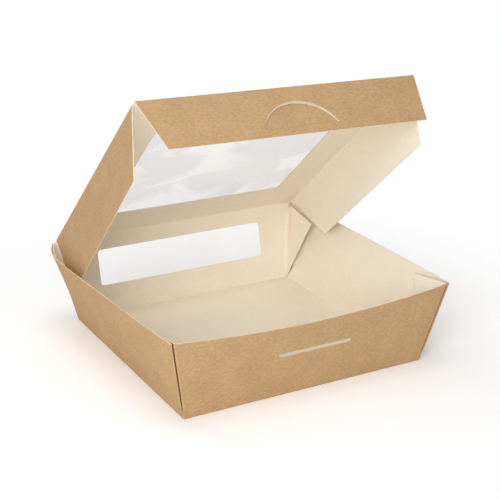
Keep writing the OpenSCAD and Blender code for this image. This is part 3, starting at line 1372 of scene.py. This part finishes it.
@dataclass
class Lid:
    """The lid with its window, its three flaps and the lock tab.

    Attributes:
        card: sizes of the card.
        tray: sizes of the tray.
        sizes: sizes of the lid.
    """

    card: CardSizes
    tray: TraySizes
    sizes: LidSizes

    def __post_init__(self) -> None:
        """Works out the lid's frame and the lengths that follow from the tray."""
        card, tray, lid = self.card, self.tray, self.sizes
        lean, angle = math.radians(tray.lean), math.radians(lid.open)
        hinge_y = tray.rim_half - card.half + lid.hinge_up * math.tan(lean)
        self.hinge = np.array([0, hinge_y, tray.rim_z + lid.hinge_up])
        web = card.thickness + card.ply_gap + 2 * card.thickness
        self.fold_x = tray.rim_half - (web + card.half) / math.cos(lean) + card.half - card.clearance
        self.front_gap = card.clearance + card.thickness
        self.depth = float(self.hinge[1]) + tray.rim_half + self.front_gap
        self.flap_top = self.depth - self.front_gap - card.thickness - lid.flap_front_gap
        self.flap_foot = self.flap_top - lid.flap_height * math.tan(lean)
        self.lip = tray.rim_half - lid.flap_front_gap
        self.forward = np.array([0, -math.cos(angle), math.sin(angle)])
        self.outward = np.array([0, math.sin(angle), math.cos(angle)])
        self.across = np.array([1.0, 0, 0])
        turn = math.radians(180 - lid.front_angle)
        self.front_down = math.cos(turn) * self.forward - math.sin(turn) * self.outward
        self.front_out = math.sin(turn) * self.forward + math.cos(turn) * self.outward

    def lift(self, x: Array, u: Array) -> Array:
        """How far the lid's twist lifts a point, from its place across and the distance from the crease."""
        return self.sizes.twist * (self.fold_x - x) / (2 * self.fold_x) * u / self.depth

    def place(self, x: Array, u: Array, n: Array | float = 0.0, flat: bool = False) -> Array:
        """Point of the lid's frame in space.

        Args:
            x: place across.
            u: distance in front of the lid's crease.
            n: height over the lid's middle.
            flat: leaves the twist out.

        Returns:
            The points.
        """
        x, u, n = np.broadcast_arrays(np.asarray(x, float), u, n)
        over = n if flat else n + self.lift(x, u)
        sideways, ahead = x[..., None] * self.across, u[..., None] * self.forward
        return self.hinge + sideways + ahead + over[..., None] * self.outward

    def flap_surface(self, side: int) -> Surface:
        """Middle surface of a side flap.

        Args:
            side: -1 for the left flap and 1 for the right one.

        Returns:
            A surface of the distance along the lid and down the flap.
        """
        rear, twist = self.sizes.leans[max(side, 0)], self.sizes.twists[max(side, 0)]

        def surface(u: Array, w: Array) -> Array:
            """Points of the flap.

            Args:
                u: distance along the lid.
                w: distance down the flap.

            Returns:
                The points in space.
            """
            lean = np.radians(rear + twist * u / self.depth)
            edge = self.place(np.full_like(u, side * self.fold_x), u)
            out = side * self.across[None, :] * (w * np.sin(lean))[:, None]
            return edge + out - self.outward[None, :] * (w * np.cos(lean))[:, None]

        return surface

    def front_surface(self, x: Array, w: Array) -> Array:
        """Middle surface of the front flap, from its place across and the distance down."""
        return self.place(x, np.full_like(x, self.depth)) + w[:, None] * self.front_down

    def tab_surface(self, x: Array, w: Array) -> Array:
        """Middle surface of the lock tab, which stays clear of the lid's twist.

        Args:
            x: place across.
            w: distance down the front flap.

        Returns:
            The points.
        """
        drop, push = self.sizes.tab[2], math.radians(self.sizes.tab_push)
        edge = self.place(x, np.full_like(x, self.depth), flat=True) + drop * self.front_down
        rise = (drop - w)[:, None]
        return edge - rise * math.cos(push) * self.front_down - rise * math.sin(push) * self.front_out

    def tab_shift(self, x: Array) -> Array:
        """How much lower the tab's cut lies on the twisted flap, to stay where the slot needs it."""
        return self.lift(x, np.full_like(x, self.depth)) * float(-self.front_down @ self.outward)

    def half_moon(self, grow: float, foot: float) -> list[tuple[float, float]]:
        """Outline of the tab or of its cut.

        Args:
            grow: how far the outline is grown.
            foot: how far above its crease the outline ends.

        Returns:
            Points with their place across and distance down the flap.
        """
        width, height, drop, middle = self.sizes.tab
        radius = (height**2 + width**2 / 4) / (2 * height)
        centre = (middle, -drop + height - radius)
        low = -drop + foot - centre[1]
        start = math.degrees(math.asin(low / (radius + grow)))
        points = arc(centre, radius + grow, start, 180 - start, count=40)
        return [(x, -y) for x, y in points + line(points[-1], points[0], CARD_STEP)[1:]]

    def flap_rear(self, side: int, w: float) -> float:
        """Where a side flap starts along the lid.

        Args:
            side: -1 for the left flap and 1 for the right one.
            w: distance down the flap.

        Returns:
            The distance from the lid's crease.
        """
        lid, which = self.sizes, max(side, 0)
        slope, knee = math.tan(math.radians(self.tray.lean)), lid.flap_knees[which]
        start = self.card.crease + lid.flap_rear_gaps[which] + min(w, knee) * slope
        share = max(0.0, w - knee) / (lid.flap_height - knee)
        return start + (lid.flap_cuts[which] - start) * share

    def flap_front(self, w: float) -> float:
        """Where a side flap ends along the lid, at a distance down the flap."""
        return self.flap_top + (self.flap_foot - self.flap_top) * w / self.sizes.flap_height

    def window(self) -> list[tuple[float, float]]:
        """Outline of the lid's window.

        Returns:
            The points round it.
        """
        lid = self.sizes
        half, far = lid.window_width / 2, self.depth - lid.window_front
        return rounded_window((-half, lid.window_rear), (half, far), self.tray.window_radius, CARD_STEP)

    def panel(self) -> Sheet:
        """Cuts the lid's panel, with its window.

        Returns:
            The panel.
        """
        gap = self.card.crease
        side, front, neck = self.fold_x - gap, self.depth - gap, self.flap_top + gap
        half = [(side, gap), (side, neck), (self.lip, neck), (self.lip, front)]
        corners = [(-side, gap), *half, *((-x, u) for x, u in reversed(half[1:]))]
        outline = closed(corners, CARD_STEP)
        return Sheet.cut(self.place, outline, [self.window()], spacing=4.0, flip=True)

    def side_flap(self, side: int) -> Sheet:
        """Cuts a side flap.

        Args:
            side: -1 for the left flap and 1 for the right one.

        Returns:
            The flap.
        """
        top, foot = self.card.crease, self.sizes.flap_height
        front = [(self.flap_front(w), w) for w in (top, foot)]
        rear = [(self.flap_rear(side, w), w) for w in (top, foot, self.sizes.flap_knees[max(side, 0)])]
        outline = closed([rear[0], *front, *rear[1:]], CARD_STEP)
        place = (0, FLAT_FLAP * side)
        return Sheet.cut(self.flap_surface(side), outline, spacing=3.0, flip=side < 0, offset=place)

    def front_flap(self) -> Sheet:
        """Cuts the front flap, with the cut of the lock tab.

        Returns:
            The flap.
        """
        lid, gap = self.sizes, self.card.crease
        low = lid.front_height
        foot = self.lip - low * math.tan(math.radians(lid.front_taper))
        outline = closed([(-self.lip, gap), (self.lip, gap), (foot, low), (-foot, low)], CARD_STEP)
        moon = np.array(self.half_moon(lid.tab_cut, -gap))
        moon[:, 1] += self.tab_shift(moon[:, 0])
        hole = [tuple(p) for p in moon]
        return Sheet.cut(
            self.front_surface, outline, [hole], spacing=3.0, flip=True, offset=(FLAT_FLAP, 0)
        )

    def lock_tab(self) -> Sheet:
        """Cuts the lock tab."""
        outline = self.half_moon(0.0, self.card.crease / 2)
        return Sheet.cut(self.tab_surface, outline, spacing=2.5, flip=True, offset=(FLAT_FLAP, 0))

    def build(self, tray: Tray, finishes: Finishes) -> None:
        """Makes the lid, its film, flaps, tab and the creases between them.

        Args:
            tray: the tray that the lid is creased to.
            finishes: the box's materials.
        """
        pieces = [
            ("lid_card", self.panel(), Body.LID, "lid_panel"),
            ("left_flap_card", self.side_flap(-1), Body.LEFT, "lid_left_flap"),
            ("right_flap_card", self.side_flap(1), Body.RIGHT, "lid_right_flap"),
            ("front_flap_card", self.front_flap(), Body.FRONT, "lid_front_flap"),
            ("lock_tab_card", self.lock_tab(), Body.LOCK, "lock_tab"),
        ]
        for name, sheet, body, node in pieces:
            piece = sheet.build(name, self.card.thickness, finishes.card)
            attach(piece, body.value)
            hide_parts(node)
            LOG.info("%s: %d faces", name, len(piece.data.polygons))
        self.build_film(finishes)
        self.build_creases(tray, finishes)

    def build_film(self, finishes: Finishes) -> None:
        """Makes the film of the lid's window.

        Args:
            finishes: the box's materials.
        """
        lid, margin = self.sizes, self.sizes.film_margin
        half = lid.window_width / 2 + margin
        low, high = lid.window_rear - margin, self.depth - lid.window_front + margin

        def surface(x: Array, u: Array) -> Array:
            """Points of the film, from its two flat coordinates."""
            return self.place(x, u, -self.card.film_off)

        sheet = window_film(surface, (-half, low), (half, high), self.window())
        film = sheet.build("lid_film", self.card.film, finishes.clear(finishes.lid))
        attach(film, Body.LID.value)
        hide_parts("lid_window_film")

    def build_creases(self, tray: Tray, finishes: Finishes) -> None:
        """Makes the creased strips between the lid, the tray, the flaps and the tab.

        Args:
            tray: the tray that the lid is creased to.
            finishes: the box's materials.
        """
        gap, wall = self.card.crease, tray.end_surface(1)
        x = np.linspace(-self.fold_x, self.fold_x + self.sizes.rear_run, LID_COLUMNS)
        rim, below = (wall(x, np.full_like(x, self.tray.wall - down)) for down in (0.0, EDGE_SPAN))
        rear = self.place(x, np.full_like(x, gap))
        strips = [("rear_crease", rim, rim - below, rear, self.forward, Body.TRAY, Body.LID, False)]
        for side, body, name in ((-1, Body.LEFT, "left_crease"), (1, Body.RIGHT, "right_crease")):
            u = np.linspace(self.flap_rear(side, gap), self.flap_front(gap), LID_COLUMNS)
            edge = self.place(np.full_like(u, side * (self.fold_x - gap)), u)
            top, low = (self.flap_surface(side)(u, np.full_like(u, w)) for w in (gap, gap + EDGE_SPAN))
            out = side * self.across
            strips.append((name, edge, out, top, low - top, Body.LID, body, side > 0))
        width, _, drop, middle = self.sizes.tab
        half = width / 2 - self.sizes.tab_end
        x = np.linspace(middle - half, middle + half, TAB_COLUMNS)
        edge = self.front_surface(x, drop + gap + self.tab_shift(x))
        foot, above = (self.tab_surface(x, np.full_like(x, drop - rise)) for rise in (gap / 2, gap))
        up, rise = -self.front_down, above - foot
        strips.append(("tab_crease", edge, up, foot, rise, Body.FRONT, Body.LOCK, True))
        x = np.linspace(-self.lip, self.lip, LID_COLUMNS)
        edge = self.place(x, np.full_like(x, self.depth - gap))
        top = self.front_surface(x, np.full_like(x, gap))
        ways = (edge, self.forward, top, self.front_down)
        strips.append(("front_crease", *ways, Body.LID, Body.FRONT, False))
        for name, starts, leave, ends, arrive, first, second, flip in strips:
            rows, over = crease(starts, leave, ends, arrive, LID_STEPS, 2 * gap)
            places = np.stack(np.meshgrid(run_length(starts), over, indexing="ij"), -1)
            sheet = Sheet.woven(rows, places, flip=flip)
            strip = sheet.build(name, self.card.thickness, finishes.card)
            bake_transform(strip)


# Stage


@dataclass(frozen=True)
class Light:
    """A square area light aimed at the box.

    Attributes:
        name: the light's name.
        place: where it hangs, in metres.
        size: its side in metres.
        power: its power in watts.
        aim: the point it is aimed at, in metres.
    """

    name: str
    place: tuple[float, float, float]
    size: float
    power: float
    aim: tuple[float, float, float] = (0.0, 0.0, 0.05)

    def build(self) -> bpy.types.Object:
        """Makes the light.

        Returns:
            The light.
        """
        data = bpy.data.lights.new(self.name, "AREA")
        data.size, data.energy = self.size, self.power
        light = bpy.data.objects.new(self.name, data)
        light.location = self.place
        towards = Vector(self.place) - Vector(self.aim)
        light.rotation_euler = towards.to_track_quat("Z", "Y").to_euler()
        bpy.context.scene.collection.objects.link(light)
        return light


# Soft light from above, a key from the camera's left, and fills from the left and from behind
LIGHTS = (
    Light("top_light", (0.0, -0.1, 1.3), 0.8, 4.4),
    Light("front_light", (-0.55, -0.7, 0.43), 0.5, 4.2),
    Light("left_light", (-0.8, -0.6, 0.3), 0.5, 2.1),
    Light("back_light", (-0.2, 0.7, 1.0), 0.6, 2.0),
)


@dataclass(frozen=True)
class Studio:
    """White studio with soft lights and the photo's camera.

    Attributes:
        camera: the camera's place in millimetres.
        back: unit vector from the object to the camera.
        right: unit vector to the right of the picture.
        lens: focal length in millimetres.
        sensor: width of the camera's sensor in millimetres.
        clip: distances in metres between which the camera sees.
        world: strength of the white surroundings.
        floor: half the side of the floor in metres.
        paper: distances in metres over which the floor runs out into white.
        glow: brightness that the camera sees on top of the floor's own.
    """

    camera: tuple[float, float, float] = (-311.53, -576.48, 295.39)
    back: tuple[float, float, float] = (-0.4527, -0.8234, 0.3421)
    right: tuple[float, float, float] = (0.8763, -0.4817, 0.0)
    lens: float = 86.34
    sensor: float = 36.0
    clip: tuple[float, float] = (0.01, 20.0)
    world: float = 0.34
    floor: float = 6.0
    paper: tuple[float, float] = (0.1, 0.26)
    glow: float = 0.12

    def build_camera(self) -> None:
        """Makes the camera and makes it the scene's."""
        data = bpy.data.cameras.new("camera")
        data.lens, data.sensor_width = self.lens, self.sensor
        data.clip_start, data.clip_end = self.clip
        camera = bpy.data.objects.new("camera", data)
        back, right = Vector(self.back).normalized(), Vector(self.right).normalized()
        turn = Matrix((right, back.cross(right), back)).transposed().to_4x4()
        camera.matrix_world = Matrix.Translation(Vector(self.camera) * MM) @ turn
        bpy.context.scene.collection.objects.link(camera)
        bpy.context.scene.camera = camera

    def build_world(self) -> None:
        """Makes the white surroundings, pure white to the camera and through the films."""
        world = bpy.data.worlds.new("studio")
        bpy.context.scene.world = world
        tree = emptied(world)
        light = colour_node(tree, "Background", WHITE, Strength=self.world)
        seen = colour_node(tree, "Background", WHITE, Strength=1.0)
        path = add_node(tree, "LightPath")
        mix = mix_shaders(tree, path.outputs["Is Camera Ray"], light, seen)
        add_node(tree, "OutputWorld", inputs={"Surface": mix.outputs["Shader"]})

    def build_paper(self) -> bpy.types.Material:
        """Makes the floor's material.

        Returns:
            White paper that runs out into pure white away from the box, for the camera only.
        """
        material = bpy.data.materials.new("studio_paper")
        tree = emptied(material)
        paper = colour_node(tree, "BsdfDiffuse", "#fdfdfd")
        place = add_node(tree, "NewGeometry")
        away = add_node(tree, "VectorMath", {"operation": "LENGTH"}, {0: place.outputs["Position"]})
        fade = add_range(tree, away.outputs["Value"], self.paper, kind="SMOOTHSTEP")
        eye = add_node(tree, "LightPath").outputs["Is Camera Ray"]
        seen, gain = (
            add_node(tree, "Math", {"operation": "MULTIPLY"}, {0: eye, 1: factor}).outputs["Value"]
            for factor in (fade, self.glow)
        )
        white = colour_node(tree, "Emission", WHITE, Strength=1.0)
        glow = colour_node(tree, "Emission", WHITE, Strength=gain)
        lit = add_node(tree, "AddShader", inputs={0: paper.outputs[0], 1: glow.outputs[0]})
        shader = mix_shaders(tree, seen, lit, white)
        add_node(tree, "OutputMaterial", inputs={"Surface": shader.outputs["Shader"]})
        return material

    def build_floor(self) -> bpy.types.Object:
        """Makes the plain pale floor.

        Returns:
            The floor.
        """
        mesh = bpy.data.meshes.new("floor")
        corners = rectangle((-self.floor, -self.floor), (self.floor, self.floor))
        mesh.from_pydata([(*corner, 0) for corner in corners], [], [(0, 1, 2, 3)])
        mesh.materials.append(self.build_paper())
        floor = bpy.data.objects.new("floor", mesh)
        bpy.context.scene.collection.objects.link(floor)
        return floor

    def build(self) -> None:
        """Makes the whole stage."""
        self.build_world()
        self.build_camera()
        lights = [light.build() for light in LIGHTS]
        self.build_floor()
        bpy.context.scene.view_settings.view_transform = "Standard"


def main() -> None:
    """Builds the box and its stage."""
    logging.basicConfig(level=logging.INFO, format="%(name)s: %(message)s")
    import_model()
    finishes = Finishes()
    card, tray_sizes = CardSizes(), TraySizes()
    tray = Tray(card, tray_sizes)
    tray.build(finishes)
    tray.build_film(finishes)
    Lid(card, tray_sizes, LidSizes()).build(tray, finishes)
    Studio().build()


if __name__ == "__main__":
    main()
